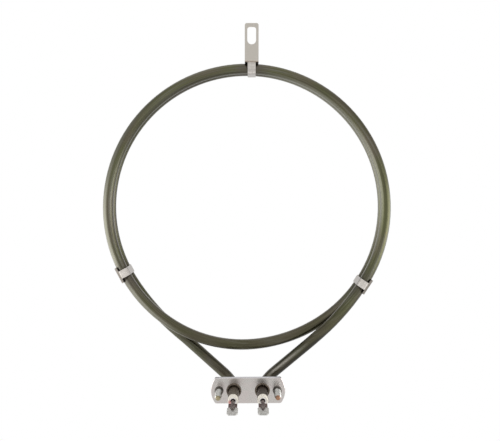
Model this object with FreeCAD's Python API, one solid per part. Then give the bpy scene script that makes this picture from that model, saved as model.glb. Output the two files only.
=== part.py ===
# Round heating element of a fan oven. One sheathed heater bar is wound into two turns, and its legs
# come down to a flange plate that carries the two terminals and the two fixing studs. Two clips and
# a hanger, each folded from one strip, hold the turns together.
#
# Frame, in millimetres: X to the right, Y away from the terminals, Z up. The origin is the middle of
# the flange plate's seating face, which looks along -Y, as the studs and the terminals do.
import FreeCAD
import Part
import os
from math import acos, cos, degrees, radians, sin, sqrt, tan

V = FreeCAD.Vector

# Heater bar
sheath_d = 6.5
sheath_flattening = 0.08  # what pressing the wound turns flat takes off the bar, front to back
sheath_wall = 0.5
ring_r = 88.0  # from the ring's middle to the bar's middle
turn_gap = 0.6
ring_clearance = 24.4  # from the terminals' level up to the bar's middle at the bottom of the ring
ring_setback = 14.0  # from the seating face back to the middle between the two turns
crossover_deg = 35.0  # each side of the ring's lowest point, where the bar moves to its second turn

# Legs of the bar
leg_leave_deg = 32.0  # below the level of the ring's middle
leg_bow_r = 150.0
leg_level_run = 8.0  # straight run in the plane of its turn, before the leg slants
leg_slant_r = 60.0
leg_spacing = 17.6
flange_bend_r = 9.5
sheath_reach = 12.6  # the bar's end in front of the seating face

# Flange plate
plate_length = 46.0
plate_height = 16.0
plate_t = 2.0
plate_end_r = 13.0
plate_corner_r = 1.2
plate_edge_chamfer = 0.3

# Bushes that carry the bar's ends in the plate
bush_wall = 1.3
bush_nose = 0.5  # in front of the plate
bush_chamfer = 0.2
bush_mouth_chamfer = 0.5  # room for the brazing round the bar
bush_collar_w = 0.9
bush_collar_t = 0.8

# Fixing studs
stud_from_end = 5.0  # from the end of the plate
stud_d = 4.0
stud_length = 12.0
stud_point_d = 2.6  # at the end of the chamfer
stud_point_length = 0.7
stud_nub_d = 2.3  # left where the stud was parted from its bar
stud_nub_length = 0.9
stud_base_d = 5.5
stud_base_t = 0.8
stud_weld_depth = 0.3  # how far the base is let into the plate

# Terminals
pin_d = 2.0
pin_flat = 0.3  # depth of the flat that lies on the tab
pin_on_blade = 3.0
pin_pressed_w = 2.7  # across the pin's outer end, which is pressed flat on the tab
pin_pressed_t = 0.8
pin_pressed_length = 7.0
pin_taper_length = 3.6  # where the round pin runs out on its pressed end
pin_tip_w = 0.9
coil_wire_d = 0.45
coil_end_length = 4.0
coil_end_gap = 0.8  # from the pin's inner end to the end of its bore
seal_length = 3.0
bead_d = 6.3
bead_bore_d = 3.1
bead_rim_t = 2.8
bead_rim_chamfer = 0.3
bead_spigot = 2.0
tab_gap = 1.8  # from the bead to the tab
tab_t = 0.8
tab_neck_w = 5.2
tab_neck_length = 5.4
tab_shoulder = 0.8
tab_blade_w = 6.3
tab_blade_length = 7.6
tab_tip_chamfer = 1.1
tab_hole_d = 1.5
tab_hole_from_tip = 3.2

# Folded strips
strip_t = 0.6
strip_bend_r = 0.7  # inside the bend
strap_w = 5.0
strap_play = 0.2  # between the strap and the bar
slot_play = 0.1
clip_w = 10.4
clip_lift = 0.3  # from the bar to the clip's wide plate
clip_curl_r = 2.4  # inside the bend between the clip's plate and its strap
clip_curl_deg = 72.0  # how far round that bend the strip stays wide
clip_margin = 1.4  # plate left behind the slot
clip_tail = 5.5
clip_corner_r = 0.8
left_clip_deg = 207.4
right_clip_deg = -33.6
hanger_deg = 87.5
hanger_lean_deg = 2.0  # back to upright, within the strap's play
hanger_w = 8.6
hanger_lift = 0.2
hanger_height = 23.6  # from the top of the folded strip to the hanger's top
hanger_tail = 6.0
hanger_corner_r = 1.3
hanger_slot_w = 5.5
hanger_slot_length = 10.8
hanger_slot_corner_r = 1.6
hanger_slot_from_top = 2.4

# Fits
brazed_fit = 0.05  # all round, between turned pieces that are brazed or cemented together
face_overrun = 1.0  # how far a cutting tool runs past the faces that it opens

# Worked out from the sizes above
ring_rise = ring_r + ring_clearance
stud_spacing = plate_length - 2 * stud_from_end
bar_half = sheath_d / 2
bar_half_deep = bar_half - sheath_flattening / 2
turn_pitch = 2 * bar_half_deep + turn_gap
front_turn_y = ring_setback - turn_pitch / 2
back_turn_y = ring_setback + turn_pitch / 2
bore_r = bar_half - sheath_wall
bush_bore_r = bar_half + brazed_fit
bush_r = bush_bore_r + bush_wall
bead_face_y = -(sheath_reach + bead_rim_t)
tab_start_y = bead_face_y - tab_gap
blade_start_y = tab_start_y - tab_neck_length
tab_tip_y = blade_start_y - tab_shoulder - tab_blade_length
pin_tip_y = blade_start_y - pin_on_blade
bore_end_y = plate_t
pin_inner_y = bore_end_y - coil_end_gap
seal_front_y = -sheath_reach + bead_spigot
seal_back_y = seal_front_y + seal_length
pin_r = pin_d / 2
pin_seat_z = -(pin_r - pin_flat)


def arc(start, middle, end):
    return Part.Arc(start, middle, end).toShape()


def line(start, end):
    return Part.LineSegment(start, end).toShape()


def unit(vector):
    return V(vector).normalize()


def arc_along(start, heading, end):
    """The arc that leaves start along heading and reaches end."""
    chord = end - start
    along = unit(chord)
    half_turn = acos(unit(heading).dot(along))
    bulge = unit(heading - along * heading.dot(along))
    return arc(start, start + chord / 2 + bulge * (chord.Length / 2 * tan(half_turn / 2)), end)


def rounded_route(points, radii):
    """Straight runs from point to point, with an arc of the given radius at each point between."""
    edges = []
    last = points[0]
    for before, corner, after, radius in zip(points, points[1:], points[2:], radii):
        back = unit(before - corner)
        on = unit(after - corner)
        half_opening = acos(back.dot(on)) / 2
        cut = radius / tan(half_opening)
        middle = corner + unit(back + on) * (radius / sin(half_opening))
        edges.append(line(last, corner + back * cut))
        edges.append(arc(corner + back * cut, middle + unit(corner - middle) * radius, corner + on * cut))
        last = corner + on * cut
    edges.append(line(last, points[-1]))
    return edges


def ring_point(angle_deg, depth):
    angle = radians(angle_deg)
    return V(ring_r * cos(angle), depth, ring_rise + ring_r * sin(angle))


def ring_arc(from_deg, to_deg, depth):
    return arc(
        ring_point(from_deg, depth),
        ring_point((from_deg + to_deg) / 2, depth),
        ring_point(to_deg, depth),
    )


def leg_route(side):
    """One leg, from the bar's end to the ring. The right leg, side 1, joins the front turn, and the
    left leg, side -1, the back turn. Both slant to the middle between the turns."""
    depth = ring_setback - side * turn_pitch / 2
    leave = radians(leg_leave_deg)
    outward = V(side * cos(leave), 0, -sin(leave))
    joint = V(0, depth, ring_rise) + outward * ring_r
    bow_middle = joint - outward * leg_bow_r
    to_foot = V(side * leg_spacing / 2, depth, 0) - bow_middle
    swing = FreeCAD.Rotation(V(0, 1, 0), -side * degrees(acos(leg_bow_r / to_foot.Length)))
    touch = bow_middle + swing.multVec(unit(to_foot)) * leg_bow_r
    run = unit(V(side * leg_spacing / 2, depth, 0) - touch)
    knee = touch + run * leg_level_run
    corner = V(side * leg_spacing / 2, ring_setback, 0)
    end = V(side * leg_spacing / 2, -sheath_reach, 0)
    bow_top = bow_middle + unit(touch + joint - bow_middle * 2) * leg_bow_r
    return rounded_route([end, corner, knee, touch], [flange_bend_r, leg_slant_r]) + [
        arc(touch, bow_top, joint)
    ]


def crossover():
    """Two arcs that take the bar under the ring's middle from the front turn to the back turn. The
    bar's heading at the lowest point is level, which sets that point's height."""
    start = ring_point(270 - crossover_deg, front_turn_y)
    end = ring_point(270 + crossover_deg, back_turn_y)
    slope = radians(crossover_deg)
    reach = abs(start.x)
    across = turn_pitch / 2
    level = reach * cos(slope)
    drop = (sqrt(level**2 + sin(slope) ** 2 * (reach**2 + across**2)) - level) / sin(slope)
    lowest = V(0, ring_setback, start.z - drop)
    first = arc_along(start, V(cos(slope), 0, -sin(slope)), lowest)
    second = arc_along(lowest, first.tangentAt(first.LastParameter), end)
    return [first, second]


def bar_route():
    """The bar's middle line, from the right terminal over both turns to the left terminal."""
    over_front = ring_arc(-leg_leave_deg, 270 - crossover_deg, front_turn_y)
    over_back = ring_arc(270 + crossover_deg, 360 + 180 + leg_leave_deg, back_turn_y)
    edges = leg_route(1) + [over_front] + crossover() + [over_back] + leg_route(-1)
    return Part.Wire(Part.__sortEdges__(edges))


def heater_bar():
    """Sheath with its packed filling as one swaged bar, bored out where the terminals go in."""
    right_leg = leg_route(1)
    end = V(leg_spacing / 2, -sheath_reach, 0)
    uphill = right_leg[2].tangentAt(right_leg[2].FirstParameter)
    thin_way = unit(V(uphill.x, 0, uphill.z))
    wide_way = V(0, 1, 0).cross(thin_way)
    section = Part.Ellipse(end + wide_way * bar_half, end + thin_way * bar_half_deep, end)
    bar = bar_route().makePipe(Part.Face(Part.Wire(section.toShape())))
    depth = sheath_reach + bore_end_y
    for side in (1, -1):
        mouth = V(side * leg_spacing / 2, -sheath_reach - face_overrun, 0)
        bar = bar.cut(Part.makeCylinder(bore_r, depth + face_overrun, mouth, V(0, 1, 0)))
    return bar


def turned(profile, x):
    """A turned piece round an axis along Y at this x, from its (radius, y) outline."""
    points = [V(x + radius, y, 0) for radius, y in profile]
    return Part.Face(Part.makePolygon(points + points[:1])).revolve(V(x, 0, 0), V(0, 1, 0), 360)


def flange_plate():
    half_height = plate_height / 2
    corner_x = plate_length / 2 - plate_end_r + sqrt(plate_end_r**2 - half_height**2)
    edges = []
    for side in (1, -1):
        top = V(side * corner_x, 0, side * half_height)
        tip = V(side * plate_length / 2, 0, 0)
        bottom = V(side * corner_x, 0, -side * half_height)
        edges.append(arc(top, tip, bottom))
        edges.append(line(bottom, V(-side * corner_x, 0, -side * half_height)))
    plate = Part.Face(Part.Wire(edges)).extrude(V(0, plate_t, 0))
    corners = [e for e in plate.Edges if abs(e.tangentAt(e.FirstParameter).y) > 0.99]
    plate = plate.makeFillet(plate_corner_r, corners)
    rims = [e for e in plate.Edges if e.BoundBox.YLength < plate_edge_chamfer]
    plate = plate.makeChamfer(plate_edge_chamfer, rims)
    for side in (1, -1):
        hole_start = V(side * leg_spacing / 2, -face_overrun, 0)
        hole = Part.makeCylinder(bush_r + brazed_fit, plate_t + 2 * face_overrun, hole_start, V(0, 1, 0))
        pit_start = V(side * stud_spacing / 2, -face_overrun, 0)
        pit_r = stud_base_d / 2 + brazed_fit
        pit = Part.makeCylinder(pit_r, stud_weld_depth + face_overrun, pit_start, V(0, 1, 0))
        plate = plate.cut(hole).cut(pit)
    return plate


def flange_bush(side):
    back = plate_t + bush_collar_t
    profile = [
        (bush_bore_r, back),
        (bush_r + bush_collar_w, back),
        (bush_r + bush_collar_w, plate_t),
        (bush_r, plate_t),
        (bush_r, -(bush_nose - bush_chamfer)),
        (bush_r - bush_chamfer, -bush_nose),
        (bush_bore_r + bush_mouth_chamfer, -bush_nose),
        (bush_bore_r, -(bush_nose - bush_mouth_chamfer)),
    ]
    return turned(profile, side * leg_spacing / 2)


def stud(side):
    nub_start = stud_length - stud_nub_length
    profile = [
        (0, stud_weld_depth),
        (stud_base_d / 2, stud_weld_depth),
        (stud_base_d / 2, -(stud_base_t - stud_weld_depth)),
        (stud_d / 2, -(stud_base_t - stud_weld_depth)),
        (stud_d / 2, -(nub_start - stud_point_length)),
        (stud_point_d / 2, -nub_start),
        (stud_nub_d / 2, -nub_start),
        (stud_nub_d / 2, -stud_length),
        (0, -stud_length),
    ]
    return turned(profile, side * stud_spacing / 2)


def terminal_pin(side):
    """A round pin with a flat that lies on the tab. Its outer end is pressed flat to a blunt arrow."""
    x = side * leg_spacing / 2
    pressed_y = pin_tip_y + pin_pressed_length
    taper_end_y = pressed_y - pin_taper_length
    profile = [(0, pin_inner_y), (pin_r, pin_inner_y), (pin_r, pressed_y), (0, taper_end_y)]
    below = Part.makeBox(
        pin_d,
        tab_start_y - pin_tip_y + face_overrun,
        pin_d,
        V(x - pin_r, pin_tip_y - face_overrun, pin_seat_z - pin_d),
    )
    half_outline = [
        (pin_r, pressed_y),
        (pin_pressed_w / 2, taper_end_y),
        (pin_tip_w / 2, pin_tip_y),
    ]
    return turned(profile, x).cut(below).fuse(plate_along(x, half_outline, pin_seat_z, pin_pressed_t))


def plate_along(x, half_outline, bottom_z, thickness):
    """A level plate, the same on both sides of a terminal's axis."""
    right = [V(x + across, y, bottom_z) for across, y in half_outline]
    left = [V(x - across, y, bottom_z) for across, y in reversed(half_outline)]
    return Part.Face(Part.makePolygon(right + left + right[:1])).extrude(V(0, 0, thickness))


def end_sleeve(side, inner_r, outer_r, back_y, front_y):
    """A plain sleeve round one terminal's axis."""
    profile = [(inner_r, back_y), (outer_r, back_y), (outer_r, front_y), (inner_r, front_y)]
    return turned(profile, side * leg_spacing / 2)


def coil_radii():
    inner = pin_r + brazed_fit
    return inner, inner + coil_wire_d


def resistance_coil():
    """The coil's close-wound first turns, on the inner end of each pin."""
    inner, outer = coil_radii()
    front = pin_inner_y - coil_end_length
    return Part.makeCompound([end_sleeve(side, inner, outer, pin_inner_y, front) for side in (1, -1)])


def magnesia_filling(side):
    """Packed filling of one bored end, round the pin and the coil's first turns."""
    outer = bore_r - brazed_fit
    coil_r = coil_radii()[1] + brazed_fit
    coil_front = pin_inner_y - coil_end_length - brazed_fit
    profile = [
        (0, bore_end_y),
        (outer, bore_end_y),
        (outer, seal_back_y),
        (pin_r + brazed_fit, seal_back_y),
        (pin_r + brazed_fit, coil_front),
        (coil_r, coil_front),
        (coil_r, pin_inner_y + brazed_fit),
        (0, pin_inner_y + brazed_fit),
    ]
    return turned(profile, side * leg_spacing / 2)


def end_seal(side):
    return end_sleeve(side, pin_r + brazed_fit, bore_r - brazed_fit, seal_back_y, seal_front_y)


def insulator(side):
    """Ceramic bead with a spigot that centres it in the sheath's mouth."""
    bead_r = bead_d / 2
    profile = [
        (bead_bore_d / 2, seal_front_y),
        (bore_r - brazed_fit, seal_front_y),
        (bore_r - brazed_fit, -sheath_reach),
        (bead_r, -sheath_reach),
        (bead_r, bead_face_y + bead_rim_chamfer),
        (bead_r - bead_rim_chamfer, bead_face_y),
        (bead_bore_d / 2, bead_face_y),
    ]
    return turned(profile, side * leg_spacing / 2)


def tab_terminal(side):
    """Flat push-on tab, welded under the pin by its neck."""
    x = side * leg_spacing / 2
    tip_w = tab_blade_w - 2 * tab_tip_chamfer
    half_outline = [
        (tab_neck_w / 2, tab_start_y),
        (tab_neck_w / 2, blade_start_y),
        (tab_blade_w / 2, blade_start_y - tab_shoulder),
        (tab_blade_w / 2, tab_tip_y + tab_tip_chamfer),
        (tip_w / 2, tab_tip_y),
    ]
    bottom_z = pin_seat_z - tab_t
    tab = plate_along(x, half_outline, bottom_z, tab_t)
    hole_start = V(x, tab_tip_y + tab_hole_from_tip, bottom_z - face_overrun)
    return tab.cut(Part.makeCylinder(tab_hole_d / 2, tab_t + 2 * face_overrun, hole_start))


def strip_along(middle_line, width):
    """A strip whose middle line is a list of edges in its own plane Z 0, first edge straight."""
    start, second = [vertex.Point for vertex in middle_line[0].Vertexes]
    half_t = V(0, 0, 1).cross(unit(second - start)) * (strip_t / 2)
    half_w = V(0, 0, width / 2)
    outline = [start + half_t + half_w, start - half_t + half_w]
    outline += [start - half_t - half_w, start + half_t - half_w]
    return Part.Wire(middle_line).makePipe(Part.Face(Part.makePolygon(outline + outline[:1])))


def folded_strip(corners, bends, width):
    """A strip folded at the corners of its middle line, each with its bend's radius."""
    points = [V(depth, out, 0) for depth, out in corners]
    return strip_along(rounded_route(points, bends), width)


def on_ring(shape, angle_deg, lean_deg=0.0):
    """Seats a piece on the ring. Its own axes are X back, Y out from the ring, Z along the bar."""
    shape = shape.copy()
    shape.rotate(V(0, ring_r, 0), V(-1, 0, 0), lean_deg)
    angle = radians(angle_deg)
    seat = FreeCAD.Placement(
        FreeCAD.Matrix(
            0, cos(angle), sin(angle), 0,
            1, 0, 0, ring_setback,
            0, sin(angle), -cos(angle), ring_rise,
            0, 0, 0, 1,
        )
    )
    shape.Placement = seat.multiply(shape.Placement)
    return shape


# Where the folded strips' middle lines run, measured from between the turns and from the ring's middle
strap_side = turn_pitch / 2 + bar_half_deep + strap_play + strip_t / 2
strap_inside = ring_r - bar_half - strap_play - strip_t / 2
clip_out = ring_r + bar_half + clip_lift + strip_t / 2
hanger_out = ring_r + bar_half + hanger_lift + strip_t / 2
bend_reach = strip_bend_r + strip_t / 2
curl_reach = clip_curl_r + strip_t / 2
hug_reach = bar_half + strap_play + strip_t / 2


def slot_cutter(depth, out, extra_out):
    """Opens a wide strip where the strap's tail passes through it."""
    across = strap_w + 2 * slot_play
    through = strip_t + 2 * slot_play
    height = strip_t + 2 * slot_play + extra_out
    corner = V(depth - through / 2, out - strip_t / 2 - slot_play, -across / 2)
    return Part.makeBox(through, height, across, corner)


def clip():
    """Strip folded round both turns from its wide outer plate, with the tail pushed through the
    plate near its back edge and folded down on it. The strip stays wide into its first bend, and its
    strap hugs the back turn."""
    front = -strap_side + curl_reach
    back = strap_side + strip_t / 2 + slot_play + clip_margin
    curl_middle = V(front, clip_out - curl_reach, 0)

    def curl_point(turned_deg):
        turned_angle = radians(turned_deg)
        return curl_middle + V(-sin(turned_angle), cos(turned_angle), 0) * curl_reach

    flat = line(V(back, clip_out, 0), curl_point(0))
    curl = arc(curl_point(0), curl_point(clip_curl_deg / 2), curl_point(clip_curl_deg))
    plate = strip_along([flat, curl], clip_w)
    corners = [e for e in plate.Edges if abs(e.Length - strip_t) < strip_t / 10]
    plate = plate.makeFillet(clip_corner_r, corners)
    plate = plate.cut(slot_cutter(strap_side, clip_out, 0))
    tail_out = clip_out + strip_t + slot_play
    strap = folded_strip(
        [
            (front + bend_reach, clip_out),
            (-strap_side, clip_out),
            (-strap_side, strap_inside),
            (strap_side, strap_inside),
            (strap_side, tail_out),
            (strap_side - clip_tail, tail_out),
        ],
        [curl_reach, bend_reach, hug_reach, bend_reach],
        strap_w,
    )
    return plate.fuse(strap).removeSplitter()


def hanger_bracket():
    """Strip whose wide upright end has the fixing slot. It folds back over both turns, narrows to a
    strap that hugs the back turn, and its tail comes up through the fold behind the upright end."""
    upright = -(strap_side + strip_t + slot_play)
    back = strap_side - bend_reach
    top = hanger_out + strip_t / 2 + hanger_height
    wide = folded_strip([(upright, top), (upright, hanger_out), (back, hanger_out)], [bend_reach], hanger_w)
    corners = [e for e in wide.Edges if e.BoundBox.XLength > strip_t / 2 and e.BoundBox.YMin > top - strip_t]
    corners = [e for e in corners if e.BoundBox.ZLength < strip_t]
    wide = wide.makeFillet(hanger_corner_r, corners)
    wide = wide.cut(slot_cutter(-strap_side, hanger_out, strip_bend_r))
    wide = wide.cut(fixing_slot(upright, top))
    strap = folded_strip(
        [
            (back - bend_reach, hanger_out),
            (strap_side, hanger_out),
            (strap_side, strap_inside),
            (-strap_side, strap_inside),
            (-strap_side, hanger_out + hanger_tail),
        ],
        [bend_reach, hug_reach, bend_reach],
        strap_w,
    )
    return wide.fuse(strap).removeSplitter()


def fixing_slot(upright, top):
    """Cutter for the hanger's slot, which is round at its lower end and squarer at its upper end."""
    start = upright - strip_t / 2 - face_overrun
    high = top - hanger_slot_from_top
    round_middle = high - hanger_slot_length + hanger_slot_w / 2
    half = hanger_slot_w / 2
    outline = [
        V(start, round_middle, half),
        V(start, high, half),
        V(start, high, -half),
        V(start, round_middle, -half),
    ]
    depth = strip_t + 2 * face_overrun
    upper = Part.Face(Part.makePolygon(outline + outline[:1])).extrude(V(depth, 0, 0))
    corners = [e for e in upper.Edges if e.BoundBox.XLength > depth / 2 and e.BoundBox.YMin > high - half]
    upper = upper.makeFillet(hanger_slot_corner_r, corners)
    return upper.fuse(Part.makeCylinder(half, depth, V(start, round_middle, 0), V(1, 0, 0)))


def build():
    pieces = {
        "sheath_tube": heater_bar(),
        "resistance_coil": resistance_coil(),
        "flange_plate": flange_plate(),
        "hanger_bracket": on_ring(hanger_bracket(), hanger_deg, hanger_lean_deg),
        "clip_left": on_ring(clip(), left_clip_deg),
        "clip_right": on_ring(clip(), right_clip_deg),
    }
    for name, side in (("right", 1), ("left", -1)):
        pieces["flange_bush_" + name] = flange_bush(side)
        pieces["stud_" + name] = stud(side)
        pieces["terminal_pin_" + name] = terminal_pin(side)
        pieces["magnesia_filling_" + name] = magnesia_filling(side)
        pieces["end_seal_" + name] = end_seal(side)
        pieces["insulator_" + name] = insulator(side)
        pieces["tab_terminal_" + name] = tab_terminal(side)
    return pieces


os.makedirs("parts", exist_ok=True)
for node, solid in build().items():
    solid.exportStep("parts/" + node + ".step")
    print(node, "valid" if solid.isValid() else "NOT VALID", "solids", len(solid.Solids), round(solid.Volume, 2))
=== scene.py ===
"""Looks of the round oven heating element: finishes of its metal and ceramic, threads on its studs,
the camera, the soft light and the pale floor. The finishes and the studs are sized in millimetres,
and what stands round the element in metres."""

from math import cos, pi, radians, sin

import bmesh
import bpy
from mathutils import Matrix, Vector


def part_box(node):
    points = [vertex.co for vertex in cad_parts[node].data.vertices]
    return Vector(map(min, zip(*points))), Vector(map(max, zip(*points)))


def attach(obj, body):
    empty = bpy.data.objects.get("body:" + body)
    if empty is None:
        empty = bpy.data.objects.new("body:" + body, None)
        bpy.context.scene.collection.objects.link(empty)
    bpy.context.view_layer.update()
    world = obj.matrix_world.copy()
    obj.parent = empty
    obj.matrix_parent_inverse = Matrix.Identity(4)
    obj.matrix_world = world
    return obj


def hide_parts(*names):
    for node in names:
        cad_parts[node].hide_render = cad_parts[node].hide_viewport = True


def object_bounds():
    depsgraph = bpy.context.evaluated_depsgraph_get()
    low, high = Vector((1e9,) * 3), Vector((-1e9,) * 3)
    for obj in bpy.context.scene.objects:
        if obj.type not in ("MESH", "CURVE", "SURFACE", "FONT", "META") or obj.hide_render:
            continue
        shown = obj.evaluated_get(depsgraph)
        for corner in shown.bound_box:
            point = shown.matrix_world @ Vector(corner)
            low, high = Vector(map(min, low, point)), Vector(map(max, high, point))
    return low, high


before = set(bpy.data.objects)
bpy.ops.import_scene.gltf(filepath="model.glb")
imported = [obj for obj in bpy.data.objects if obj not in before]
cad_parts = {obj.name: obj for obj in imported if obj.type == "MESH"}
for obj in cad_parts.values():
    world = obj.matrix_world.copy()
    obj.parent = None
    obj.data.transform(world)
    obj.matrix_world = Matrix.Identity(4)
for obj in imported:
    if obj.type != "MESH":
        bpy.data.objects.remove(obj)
cad_low, cad_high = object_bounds()
MM = 0.001


def solid_box(node):
    """A solid's lowest and highest corners in millimetres."""
    low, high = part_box(node)
    return low / MM, high / MM


# Places that the finishes follow, in millimetres
bar_low, bar_high = solid_box("sheath_tube")
ring_r = (bar_high.x - bar_low.x) / 2
ring_middle_z = bar_high.z - ring_r
bead_low, bead_high = solid_box("insulator_left")
bead_middle = (bead_low + bead_high) / 2
foot_x = -bead_middle.x

# The legs' slope up from the flange plate, and the thickness of a stud's weld base in millimetres
leg_slope = radians(40.3)
weld_base = 0.8


class Flow:
    """What one socket of a shader node gives. Sums on flows add the nodes that work them out."""

    def __init__(self, tree, socket=None):
        self.tree = tree
        self.socket = socket

    def node(self, kind, settings, sockets, out=0):
        """Adds a node. Its settings are set first, then the values or links of its sockets."""
        made = self.tree.nodes.new(kind)
        for name, value in settings.items():
            setattr(made, name, value)
        for name, value in sockets.items():
            if isinstance(value, Flow):
                self.tree.links.new(value.socket, made.inputs[name])
            else:
                made.inputs[name].default_value = value
        return Flow(self.tree, made.outputs[out])

    def parts(self):
        """The x, y and z of a vector."""
        return [self.node("ShaderNodeSeparateXYZ", {}, {0: self}, out=i) for i in range(3)]

    def maths(self, operation, *terms):
        """One Math node on these terms, which are flows or numbers."""
        return self.node("ShaderNodeMath", {"operation": operation}, dict(enumerate(terms)))

    def __add__(self, other):
        return self.maths("ADD", self, other)

    def __radd__(self, other):
        return self.maths("ADD", other, self)

    def __sub__(self, other):
        return self.maths("SUBTRACT", self, other)

    def __rsub__(self, other):
        return self.maths("SUBTRACT", other, self)

    def __mul__(self, other):
        return self.maths("MULTIPLY", self, other)

    def __rmul__(self, other):
        return self.maths("MULTIPLY", other, self)

    def __truediv__(self, other):
        return self.maths("DIVIDE", self, other)

    def __rtruediv__(self, other):
        return self.maths("DIVIDE", other, self)

    def __pow__(self, power):
        return self.maths("POWER", self, power)

    def __abs__(self):
        return self.maths("ABSOLUTE", self)

    def rise(self, start, end):
        """0 up to start, 1 from end on, and a smooth rise between them. It falls if end is below start."""
        settings = {"interpolation_type": "SMOOTHSTEP"}
        low, high, at_low, at_high = (start, end, 0.0, 1.0) if start < end else (end, start, 1.0, 0.0)
        sockets = {"Value": self, "From Min": low, "From Max": high, "To Min": at_low, "To Max": at_high}
        return self.node("ShaderNodeMapRange", settings, sockets)

    def blend(self, first, second):
        """The first colour where this mask is 0, the second where it is 1."""
        colours = [c if isinstance(c, Flow) else (*c, 1.0) for c in (first, second)]
        sockets = {0: self, 6: colours[0], 7: colours[1]}
        return self.node("ShaderNodeMix", {"data_type": "RGBA"}, sockets, out=2)

    def lay(self, colour, over, share):
        """Lays a share of a colour over another where this mask is 1."""
        return (self * share).blend(over, colour)

    def mottle(self, first, second):
        """Patches of two colours that follow this noise."""
        return self.rise(0.35, 0.65).blend(first, second)


def distance(across, up):
    """How far a place is from an axis that runs along Y."""
    return (across * across + up * up) ** 0.5


def total(flows):
    """The flows added together."""
    first, *others = flows
    return sum(others, first)


class Finish:
    """One material. Each point's place, in millimetres, and the way it faces are ready for its sums.
    Nodes that don't follow from another are added from start."""

    def __init__(self, name):
        self.material = bpy.data.materials.new(name)
        self.material.use_nodes = True
        tree = self.material.node_tree
        self.shader = tree.nodes["Principled BSDF"]
        self.start = Flow(tree)
        place = self.start.node("ShaderNodeTexCoord", {}, {}, out="Object")
        self.x, self.y, self.z = [part / MM for part in place.parts()]
        normal = self.start.node("ShaderNodeNewGeometry", {}, {}, out="Normal")
        self.facing_x, self.facing_y, self.facing_z = normal.parts()

    def noise(self, x, y, z, detail, fourth=None):
        """Cloudy noise from 0 to 1, with features about one unit of its coordinates across."""
        settings = {"noise_dimensions": "3D" if fourth is None else "4D"}
        point = self.start.node("ShaderNodeCombineXYZ", {}, {0: x, 1: y, 2: z})
        sockets = {"Vector": point, "Scale": 1.0, "Detail": detail, "Roughness": 0.5}
        if fourth is not None:
            sockets["W"] = fourth
        return self.start.node("ShaderNodeTexNoise", settings, sockets)

    def grain(self, size_x, size_y, size_z, detail):
        """Noise whose features have about these sizes in millimetres."""
        return self.noise(self.x / size_x, self.y / size_y, self.z / size_z, detail)

    def facing(self, x, z):
        """How far the surface faces the direction x, z, seen from the front."""
        return self.facing_x * x + self.facing_z * z

    def set(self, **sockets):
        """Sets the shader's own sockets. Words in a name are joined as in Base_Color."""
        for name, value in sockets.items():
            socket = self.shader.inputs[name.replace("_", " ")]
            if isinstance(value, Flow):
                self.start.tree.links.new(value.socket, socket)
            else:
                socket.default_value = value

    def relief(self, height, depth):
        """Bump of this depth in millimetres where the height goes from 0 to 1."""
        sockets = {"Height": height, "Distance": depth * MM, "Strength": 1.0}
        self.set(Normal=self.start.node("ShaderNodeBump", {}, sockets))


class RingFinish(Finish):
    """A finish of the ring or of what grips it, with the place round the ring's middle as well."""

    def __init__(self, name):
        super().__init__(name)
        up = self.z - ring_middle_z
        self.from_middle = distance(self.x, up)
        self.round_x = self.x / self.from_middle
        self.round_z = up / self.from_middle

    def round_to(self, x, z):
        """How far this place lies toward the direction x, z from the ring's middle."""
        return self.round_x * x + self.round_z * z


class BarFinish(RingFinish):
    """The heater bar's finish, with the place along its legs as well, noise that runs along the bar,
    and masks for where the clips and the hanger grip it."""

    def __init__(self, name):
        super().__init__(name)
        self.on_leg = self.from_middle.rise(ring_r + 0.5, ring_r + 3.5)
        self.on_ring = 1.0 - self.on_leg
        self.on_right = self.x.rise(-1.0, 1.0)
        self.lower_right = self.facing(0.7, -0.7)
        side = abs(self.x)
        self.along_leg = side * cos(leg_slope) + self.z * sin(leg_slope)
        self.across_leg = side * sin(leg_slope) - self.z * cos(leg_slope)

    def drawn(self, width, run, detail):
        """Noise stretched along the bar: features about this wide and this long, in millimetres."""
        depth = self.y / width
        turns_x = self.round_x * (ring_r / run)
        turns_z = self.round_z * (ring_r / run)
        turns = self.noise(turns_x, depth, turns_z, detail, fourth=self.from_middle / width)
        legs = self.noise(self.along_leg / run, depth, self.across_leg / width, detail)
        return self.on_leg * (legs - turns) + turns

    def beside(self, node):
        """How many millimetres along the bar from a grip's middle, and 1 on its side of the ring."""
        low, high = solid_box(node)
        middle = (low + high) / 2
        grip = Vector((middle.x, 0, middle.z - ring_middle_z)).normalized()
        along = abs(self.round_to(-grip.z, grip.x)) * ring_r
        return along, self.round_to(grip.x, grip.z).rise(0.0, 0.1)

    def browned(self, node):
        """1 at a grip, and a slow fall to 0 some way along the bar from it."""
        along, this_side = self.beside(node)
        return along.rise(14.0, 3.0) * this_side

    def strap_shadow(self, node, reach):
        """1 beside a grip's strap, as painted shadow: a wedge that narrows toward the ring's middle."""
        narrowing = 0.42
        soft_edge = 1.1
        along, this_side = self.beside(node)
        inward = ring_r - self.from_middle
        # Painted shadow of the strap, wider at the ring's outer side
        return (reach - inward * narrowing - along).rise(0.0, soft_edge) * this_side


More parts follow.
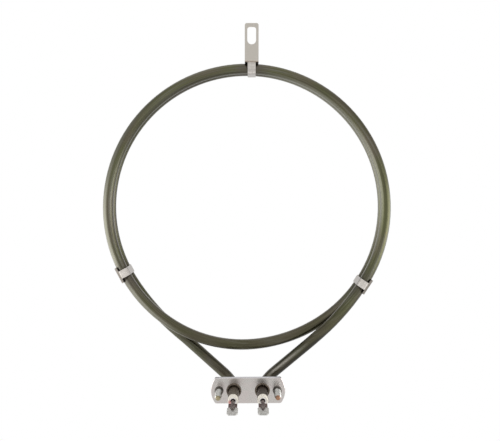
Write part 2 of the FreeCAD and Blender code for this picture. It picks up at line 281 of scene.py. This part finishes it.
class StripFinish(RingFinish):
    """Rolled steel strip with a grain across it, handling marks and bands from its press, duller
    round its bends. Its piece sets the colour, from this steel."""

    def __init__(self, name):
        super().__init__(name)
        warm = (0.74, 0.695, 0.635)
        bright = (0.84, 0.795, 0.75)
        dull = (0.58, 0.54, 0.51)
        pressed = (0.44, 0.41, 0.385)
        bent = (0.46, 0.435, 0.41)
        rolled = self.grain(0.22, 5.0, 4.0, detail=3.0)
        self.marks = self.grain(1.4, 1.0, 1.0, detail=4.0)
        face = rolled.rise(0.55, 0.72).lay(dull, over=self.marks.mottle(warm, bright), share=0.4)
        # The noise's second place differs on the right, so that the two clips have bands of their own
        side = self.x.rise(-1.0, 1.0) * 3.0
        bands = self.noise(self.from_middle / 1.3, side, self.y / 12.0, detail=1.0)
        banded = bands.rise(0.46, 0.60).lay(pressed, over=face, share=0.31)
        self.steel = abs(self.facing_y).rise(0.80, 0.40).blend(banded, bent)
        self.set(Roughness=0.30 + self.marks * 0.14, Metallic=1.0)
        self.relief(rolled * 0.5 + self.marks * 0.5, 0.03)


def wear(*nodes, finish):
    """Gives a finish to whole solids of the frame."""
    for node in nodes:
        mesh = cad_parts[node].data
        mesh.materials.clear()
        mesh.materials.append(finish.material)


def both(name):
    """The left and the right node of a pair."""
    return name + "_left", name + "_right"


def olive_steel(bar, patches, streaks):
    """Heat-tinted steel in green and brown patches, with grey and dark streaks along the bar, a painted
    purple grey sheen where it faces sideways, and a few specks of rust."""
    green = (0.122, 0.124, 0.058)
    brown = (0.142, 0.124, 0.084)
    grey = (0.212, 0.206, 0.172)
    dark = (0.072, 0.067, 0.044)
    side_sheen = (0.130, 0.115, 0.120)
    rust = (0.170, 0.116, 0.046)
    olive = patches.rise(0.38, 0.62).blend(green, brown)
    greyed = streaks.rise(0.48, 0.70).lay(grey, over=olive, share=0.75)
    streaked = streaks.rise(0.50, 0.32).lay(dark, over=greyed, share=0.6)
    # Painted sheen: purple grey where the bar faces sideways
    sideways = abs(bar.facing_y).rise(0.55, 0.10)
    sheened = sideways.lay(side_sheen, over=streaked, share=0.5)
    specks = bar.grain(5.0, 5.0, 5.0, detail=4.0).rise(0.68, 0.78)
    return specks.lay(rust, over=sheened, share=0.35)


def ring_tones(bar, steel, smoke_and_shade):
    """The ring is darker and browner at its lowest as painted shade, and has painted light on its lower
    left flank. Painted shade darkens the lower right flank, on the legs too."""
    bottom_shade = (0.078, 0.068, 0.040)
    lower_left_light = (0.245, 0.242, 0.190)
    low_arc_light = (0.370, 0.362, 0.295)
    # Painted shade: darker and browner round the ring's lowest arc
    lowest = bar.round_z.rise(-0.70, -0.95) * bar.on_ring
    browned = lowest.lay(bottom_shade, over=steel, share=0.6)
    low_arc = bar.round_to(-0.7, -0.7).rise(0.84, 0.98)
    # The painted light from the lower left reaches further round the bar toward the left, and on the lower
    # left arc
    reach = low_arc * 0.14 - bar.x * 0.003
    lower_left = (bar.facing(-0.88, -0.47) + reach).rise(0.18, 0.56)
    flank = lower_left * (1.0 - lowest) * bar.on_ring
    left_lit = flank.lay(low_arc.blend(lower_left_light, low_arc_light), over=browned, share=0.72)
    # Painted shade on the lower right flank
    return bar.lower_right.rise(0.20, 0.70).lay(smoke_and_shade, over=left_lit, share=0.6)


def leg_tones(bar, steel, smoke_and_shade):
    """The legs are smoky, with painted shade on their lower right side. The left one has painted light
    along its lower edge, and the right one a line of painted highlight along its front, from a little
    above its foot."""
    leg_edge_light = (0.165, 0.160, 0.110)
    highlight_grey = (0.36, 0.34, 0.30)
    # Smoke darkens the legs, and painted shade darkens their lower right side more
    smoke_and_shade_share = bar.lower_right.rise(-0.15, 0.30) * 0.5 + 0.42
    smoked_and_shaded = (bar.on_leg * smoke_and_shade_share).blend(steel, smoke_and_shade)
    # Painted light along the left leg's lower edge
    lower_edge = bar.facing(-0.63, -0.78).rise(0.05, 0.50) * (1.0 - bar.on_right)
    edge_lit = (bar.on_leg * lower_edge).lay(leg_edge_light, over=smoked_and_shaded, share=0.8)
    # Painted highlight: a bright line along the right leg's front
    line_height = 1.6
    line_half_width = 1.35
    above_axis = foot_x * sin(leg_slope) - bar.across_leg
    from_foot = bar.along_leg - foot_x * cos(leg_slope)
    line = abs(above_axis - line_height).rise(line_half_width, 0.0)
    run = from_foot.rise(4.0, 12.0) * from_foot.rise(42.0, 22.0)
    front = bar.facing_y.rise(0.1, -0.4)
    lighter_tone = line * run * bar.on_leg * bar.on_right * front
    return lighter_tone.lay(highlight_grey, over=edge_lit, share=0.75)


def grip_browning_and_shadows(bar, steel):
    """Heat has browned the bar near the clips and the hanger, and painted shadow lies dark beside their
    straps.
    """
    shadow_reach = {"clip_left": 5.6, "clip_right": 5.6, "hanger_bracket": 4.9}
    heat_brown = (0.100, 0.085, 0.072)
    shadow_dark = (0.022, 0.015, 0.009)
    warmed = total(bar.browned(node) for node in shadow_reach).lay(heat_brown, over=steel, share=0.5)
    # Painted shadow beside each strap
    strap_shadows = total(bar.strap_shadow(node, reach) for node, reach in shadow_reach.items())
    return strap_shadows.lay(shadow_dark, over=warmed, share=0.88)


def sheath_finish():
    """Satin steel tube with drawing lines along the bar, scorched where its ends leave the flange."""
    bar = BarFinish("olive_sheath")
    patches = bar.drawn(9.0, 26.0, detail=3.0)
    streaks = bar.drawn(0.9, 60.0, detail=2.0)
    lines = bar.drawn(0.28, 30.0, detail=3.0)
    # Dark smoke tone of the legs, which also serves as painted shade on the lower right flanks
    smoke_and_shade = (0.040, 0.036, 0.027)
    ring = ring_tones(bar, olive_steel(bar, patches, streaks), smoke_and_shade)
    stained_and_shadowed = grip_browning_and_shadows(bar, leg_tones(bar, ring, smoke_and_shade))
    scorched = bar.on_right.blend((0.104, 0.080, 0.048), (0.044, 0.026, 0.013))
    at_flange = bar.y.rise(5.0, 0.0)
    bar.set(Base_Color=at_flange.blend(stained_and_shadowed, scorched))
    bar.set(Roughness=0.26 + streaks * 0.10 + patches * 0.08)
    bar.set(Metallic=1.0, Coat_Weight=0.3, Coat_Roughness=0.3)
    pits = bar.grain(0.7, 0.7, 0.7, detail=3.0)
    bar.relief(lines * 0.7 + pits * 0.3, 0.03)
    return bar


def flange_finish():
    """Bright pressed steel with a faint rolled grain and smudges, paler where it rounds over at the
    top and darker where its sides were sheared."""
    plate = Finish("bright_flange")
    grey = (0.71, 0.682, 0.648)
    pink = (0.73, 0.67, 0.645)
    dull = (0.65, 0.615, 0.60)
    lighter_tone = (0.72, 0.695, 0.715)
    sheared = (0.45, 0.44, 0.455)
    rolled = plate.grain(9.0, 0.5, 0.18, detail=3.0)
    smudges = plate.grain(6.0, 6.0, 4.0, detail=3.0)
    waves = plate.grain(8.0, 8.0, 6.0, detail=1.0)
    face = rolled.rise(0.52, 0.75).lay(dull, over=smudges.mottle(grey, pink), share=0.2)
    top_edge = plate.facing_z.rise(0.25, 0.6)
    sides = abs(plate.facing_y).rise(0.4, 0.15)
    plate.set(Base_Color=sides.blend(top_edge.lay(lighter_tone, over=face, share=0.8), sheared))
    plate.set(Roughness=0.22 + smudges * 0.12, Metallic=1.0)
    plate.relief(rolled * 0.02 + waves, 0.05)
    return plate


def clip_finish():
    """Strip turned brown grey where a clip faces away from the ring's middle, by heat tint and painted
    shade.
    """
    clip = StripFinish("browned_and_shaded_strip")
    tint_and_shade = (0.235, 0.212, 0.185)
    # Painted shade with heat tint on the faces that turn outward from the ring's middle
    outward = clip.facing(clip.round_x, clip.round_z) + clip.marks * 0.2
    clip.set(Base_Color=outward.rise(0.22, 0.50).blend(clip.steel, tint_and_shade))
    return clip


def hanger_finish():
    """Strip of an even grey on the hanger's wide end, and painted brown shade at the step down to its
    strap.
    """
    hanger = StripFinish("rolled_strip")
    wide_grey = (0.705, 0.660, 0.595)
    step_shade = (0.40, 0.31, 0.235)
    above_ring = hanger.from_middle - ring_r
    wide = above_ring.rise(0.2, 1.2)
    # Painted shade: brown under the step down to the strap
    step = abs(above_ring - 0.6).rise(0.9, 0.2)
    hanger.set(Base_Color=step.lay(step_shade, over=wide.blend(hanger.steel, wide_grey), share=0.6))
    return hanger


def bush_finish():
    """Turned steel with fine rings, scorched dark brown by brazing."""
    bush = Finish("scorched_bush")
    dark = (0.125, 0.100, 0.078)
    brown = (0.250, 0.200, 0.155)
    scorch = bush.grain(1.6, 2.5, 1.6, detail=4.0)
    rings = bush.grain(8.0, 0.15, 8.0, detail=2.0)
    bush.set(Base_Color=scorch.mottle(dark, brown))
    bush.set(Roughness=0.46 + scorch * 0.14, Metallic=0.6)
    bush.relief(rings * 0.6 + scorch * 0.4, 0.03)
    return bush


def bead_finish():
    """Unglazed cream ceramic. The left bead has a pinkish red smear on its left edge."""
    bead = Finish("cream_ceramic")
    cream = (0.93, 0.875, 0.775)
    pale = (1.0, 0.965, 0.955)
    red = (0.74, 0.22, 0.20)
    cloud = bead.grain(1.8, 1.8, 1.8, detail=3.0)
    off_middle = distance(abs(bead.x) - foot_x, bead.z - bead_middle.z)
    fired = (off_middle + cloud * 1.2).rise(2.0, 3.2).blend(pale, cream)
    smear_x = bead_low.x + 1.3
    smear_z = bead_middle.z - 0.5
    off_smear = distance(bead.x - smear_x, bead.z - smear_z)
    smear = (off_smear + cloud * 1.2).rise(2.3, 0.9)
    bead.set(Base_Color=smear.lay(red, over=fired, share=0.75))
    bead.set(Roughness=0.5 + cloud * 0.1, Metallic=0.0, Specular_IOR_Level=0.35)
    bead.relief(bead.grain(0.3, 0.3, 0.3, detail=3.0), 0.02)
    return bead


def pin_finish():
    """Steel pin, drawn along its length and tinted purple brown by welding."""
    pin = Finish("tinted_pin")
    purple = (0.165, 0.130, 0.132)
    brown = (0.215, 0.185, 0.165)
    tint = pin.grain(1.2, 2.2, 1.2, detail=3.0)
    pin.set(Base_Color=tint.mottle(purple, brown))
    pin.set(Roughness=0.32 + tint * 0.12, Metallic=1.0)
    pin.relief(pin.grain(0.3, 3.0, 0.3, detail=2.0), 0.02)
    return pin


def tab_finish():
    """Plated tab, grey on its blade and tinted dark purple brown where its neck is welded."""
    tab = Finish("plated_tab")
    grey = (0.52, 0.515, 0.485)
    pale = (0.68, 0.665, 0.645)
    purple = (0.150, 0.100, 0.100)
    neck_length = 5.4
    neck_y = solid_box("tab_terminal_left")[1].y - neck_length
    marks = tab.grain(1.1, 1.6, 1.1, detail=3.0)
    tinted = (tab.y + marks * 1.2).rise(neck_y - 0.4, neck_y + 1.6)
    tab.set(Base_Color=tinted.blend(marks.mottle(grey, pale), purple))
    tab.set(Roughness=0.30 + marks * 0.14, Metallic=1.0)
    tab.relief(tab.grain(0.25, 3.0, 0.25, detail=2.0), 0.02)
    return tab


def powder_finish(name, pale, dark, size):
    """Packed powder or sealing compound, which only an open end would show."""
    filling = Finish(name)
    powder = filling.grain(size, size, size, detail=4.0)
    filling.set(Base_Color=powder.blend(dark, pale), Roughness=0.8, Metallic=0.0)
    filling.relief(powder, 0.04)
    return filling


def wire_finish():
    """Resistance wire, wound close, which only an open end would show."""
    wire = Finish("resistance_wire")
    dark = (0.20, 0.19, 0.18)
    grey = (0.42, 0.41, 0.39)
    pitch = 0.45
    winding = wire.y * (2 * pi / pitch)
    turns = winding.maths("SINE", winding)
    wire.set(Base_Color=turns.rise(-1.0, 1.0).blend(dark, grey))
    wire.set(Roughness=0.35, Metallic=1.0)
    wire.relief(turns, 0.1)
    return wire


def stud_finish(name, tip_colour):
    """Zinc plated stud with a darkened weld base and a tinted tip."""
    stud = Finish(name)
    zinc = (0.47, 0.47, 0.44)
    bright = (0.65, 0.64, 0.61)
    scorched = (0.170, 0.155, 0.140)
    low, high = solid_box("stud_left")
    base_y = high.y - weld_base
    tip_y = low.y + 1.0
    dust = stud.grain(0.9, 1.4, 0.9, detail=3.0)
    at_base = (stud.y + dust * 0.5).rise(base_y - 0.2, base_y + 0.2)
    at_tip = (stud.y + dust * 0.3).rise(tip_y + 0.5, tip_y)
    welded = at_base.blend(dust.mottle(zinc, bright), scorched)
    stud.set(Base_Color=at_tip.blend(welded, tip_colour))
    stud.set(Roughness=0.24 + dust * 0.16, Metallic=1.0)
    return stud


def add(name, data):
    """Puts a mesh, a lamp or a camera into the scene."""
    made = bpy.data.objects.new(name, data)
    bpy.context.scene.collection.objects.link(made)
    return made


def lathe(name, outlines, middle_x):
    """A turned piece round an axis along Y. Its outlines stand at equal angles round the axis. They
    are lists of places (radius, y), all of one length, and they start and end on the axis."""
    rows = len(outlines[0])
    points = []
    faces = []
    for step, outline in enumerate(outlines):
        angle = 2 * pi * step / len(outlines)
        points += [(MM * (middle_x + r * sin(angle)), MM * y, MM * r * cos(angle)) for r, y in outline]
        here = step * rows
        there = (step + 1) % len(outlines) * rows
        for row in range(rows - 1):
            faces.append((here + row, here + row + 1, there + row + 1, there + row))
    mesh = bpy.data.meshes.new(name)
    mesh.from_pydata(points, [], faces)
    # The places on the axis become one point at each end
    turned = bmesh.new()
    turned.from_mesh(mesh)
    bmesh.ops.remove_doubles(turned, verts=turned.verts, dist=0.001 * MM)
    turned.to_mesh(mesh)
    turned.free()
    mesh.validate()
    return add(name, mesh)


def threaded_stud(side, finish):
    """A stud with its thread cut, on its plain solid's place."""
    low, high = solid_box("stud_" + side)
    base_r = (high.x - low.x) / 2
    base_y = high.y - weld_base
    base_round = 0.12
    back_r = base_r * 0.98
    back_chamfer = 0.1
    crest_r = 2.0
    pitch = 0.7
    thread_depth = 0.54 * pitch
    root_r = crest_r - thread_depth
    root_fillet = 0.1
    point_r = 1.3
    point_length = 0.7
    nub_r = 1.15
    nub_length = 0.9
    nub_y = low.y + nub_length
    nub_chamfer = 0.15
    neck_length = 0.5
    thread_y = base_y - neck_length
    thread_length = thread_y - nub_y
    steps_round = 48
    rows_per_pitch = 8
    rows = int(thread_length / pitch * rows_per_pitch)

    def outline(turn):
        """Radius and y from the end in the plate to the tip, at this share of a turn."""
        places = [(0, high.y), (back_r, high.y), (base_r, high.y - back_chamfer)]
        places += [(base_r, base_y + base_round), (base_r - base_round, base_y)]
        places += [(root_r + root_fillet, base_y), (root_r, base_y - root_fillet)]
        for row in range(rows + 1):
            y = thread_y - thread_length * row / rows
            phase = ((thread_y - y) / pitch + turn) % 1.0
            # Crests and roots are flat, and the tooth's sides slope between them
            tooth = min(1.0, max(0.0, 1.25 - abs(2 * phase - 1) * 1.5))
            run_out = min(1.0, row / rows_per_pitch)
            threaded_r = root_r + (crest_r - root_r) * tooth * run_out
            taper_r = point_r + (y - nub_y) * (crest_r - point_r) / point_length
            places.append((min(threaded_r, taper_r), y))
        places += [(nub_r, nub_y), (nub_r, low.y + nub_chamfer)]
        return places + [(nub_r - nub_chamfer, low.y), (0, low.y)]

    outlines = [outline(step / steps_round) for step in range(steps_round)]
    piece = lathe("threaded_stud_" + side, outlines, (low.x + high.x) / 2)
    piece.data.materials.append(finish.material)
    piece.data.set_sharp_from_angle(angle=radians(35))
    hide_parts("stud_" + side)
    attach(piece, "root")


def dress():
    """Gives every piece its finish, and the studs their threads."""
    wear("sheath_tube", finish=sheath_finish())
    wear("flange_plate", finish=flange_finish())
    wear(*both("clip"), finish=clip_finish())
    wear("hanger_bracket", finish=hanger_finish())
    wear(*both("flange_bush"), finish=bush_finish())
    wear(*both("insulator"), finish=bead_finish())
    wear(*both("terminal_pin"), finish=pin_finish())
    wear(*both("tab_terminal"), finish=tab_finish())
    magnesia = powder_finish("packed_magnesia", (0.78, 0.77, 0.73), (0.66, 0.65, 0.61), 0.2)
    compound = powder_finish("sealing_compound", (0.55, 0.50, 0.42), (0.47, 0.42, 0.35), 0.6)
    wear(*both("magnesia_filling"), finish=magnesia)
    wear(*both("end_seal"), finish=compound)
    wear("resistance_coil", finish=wire_finish())
    threaded_stud("left", stud_finish("brass_tipped_zinc", (0.46, 0.40, 0.25)))
    threaded_stud("right", stud_finish("copper_tipped_zinc", (0.46, 0.26, 0.165)))


def floor_look():
    """Matt pale grey that keeps shadows, and plain white behind the element and far out. The white
    shows to the camera and in the metal, and lights nothing else."""
    material = bpy.data.materials.new("pale_floor")
    material.use_nodes = True
    tree = material.node_tree
    tree.nodes.remove(tree.nodes["Principled BSDF"])
    start = Flow(tree)
    kinds = ("Is Camera Ray", "Is Glossy Ray", "Is Transmission Ray")
    rays = total(start.node("ShaderNodeLightPath", {}, {}, out=kind) for kind in kinds)
    place = start.node("ShaderNodeTexCoord", {}, {}, out="Object")
    back = place.parts()[1]
    away = start.node("ShaderNodeVectorMath", {"operation": "LENGTH"}, {0: place}, out="Value")
    white_out = start.maths("MAXIMUM", back.rise(0.02, 0.17), away.rise(0.6, 1.6))
    seen = start.maths("MINIMUM", rays, 1.0)
    matt = start.node("ShaderNodeBsdfDiffuse", {}, {"Color": (0.80, 0.80, 0.80, 1.0)})
    white = start.node("ShaderNodeEmission", {}, {"Strength": 1.0})
    look = start.node("ShaderNodeMixShader", {}, {0: white_out * seen, 1: matt, 2: white})
    tree.links.new(look.socket, tree.nodes["Material Output"].inputs["Surface"])
    return material


def pale_floor():
    """A pale floor below the element, with its shadow on it."""
    half = 4.0
    drop = 0.110
    level = cad_low.z - drop
    corners = [(-half, -half, level), (half, -half, level), (half, half, level), (-half, half, level)]
    mesh = bpy.data.meshes.new("floor")
    mesh.from_pydata(corners, [], [(0, 1, 2, 3)])
    mesh.materials.append(floor_look())
    add("floor", mesh)


def soft_panel(name, place, aim, power):
    """A large soft lamp that looks at a point."""
    lamp = bpy.data.lights.new(name, "AREA")
    lamp.shape = "RECTANGLE"
    lamp.size = 0.66
    lamp.size_y = 0.26
    lamp.energy = power
    panel = add(name, lamp)
    panel.location = place
    panel.rotation_euler = (Vector(aim) - Vector(place)).to_track_quat("-Z", "Y").to_euler()
    panel.visible_camera = False


def studio():
    """A bright room, white behind the element, and darker in front and up at the sides."""
    world = bpy.data.worlds.new("studio")
    bpy.context.scene.world = world
    world.use_nodes = True
    tree = world.node_tree
    heading = Flow(tree).node("ShaderNodeTexCoord", {}, {}, out="Generated")
    right, back, up = heading.parts()
    behind = back.rise(0.55, 0.80)
    in_front = back.rise(-0.60, -0.90) * up.rise(0.55, 0.25)
    above_sides = abs(right).rise(0.35, 0.80) * up.rise(0.15, 0.45)
    room = 0.85 - in_front * 0.25 - above_sides * 0.40
    strength = behind * (1.0 - room) + room
    background = tree.nodes["Background"]
    tree.links.new(strength.socket, background.inputs["Strength"])
    background.inputs["Color"].default_value = (1.0, 1.0, 1.0, 1.0)


def light():
    """The studio's even light, with a soft panel at each side, the right one stronger."""
    soft_panel("left_panel", place=(-0.38, -0.15, 0.02), aim=(0.01, -0.15, 0.16), power=0.70)
    soft_panel("right_panel", place=(0.50, -0.12, 0.02), aim=(0.0, -0.12, 0.11), power=1.42)
    studio()


def camera():
    """The photograph's viewpoint, level with the ring's upper half and almost square on to it."""
    lens = bpy.data.cameras.new("viewpoint")
    lens.lens = 39.18
    lens.shift_y = -0.08
    down, roll, turn = 0.97, 0.47, 0.19
    viewpoint = add("viewpoint", lens)
    viewpoint.location = (0.0034, -0.3345, 0.1357)
    viewpoint.rotation_euler = (radians(90 - down), radians(roll), radians(turn))
    bpy.context.scene.camera = viewpoint


dress()
pale_floor()
light()
camera()
bpy.context.scene.view_settings.view_transform = "Standard"
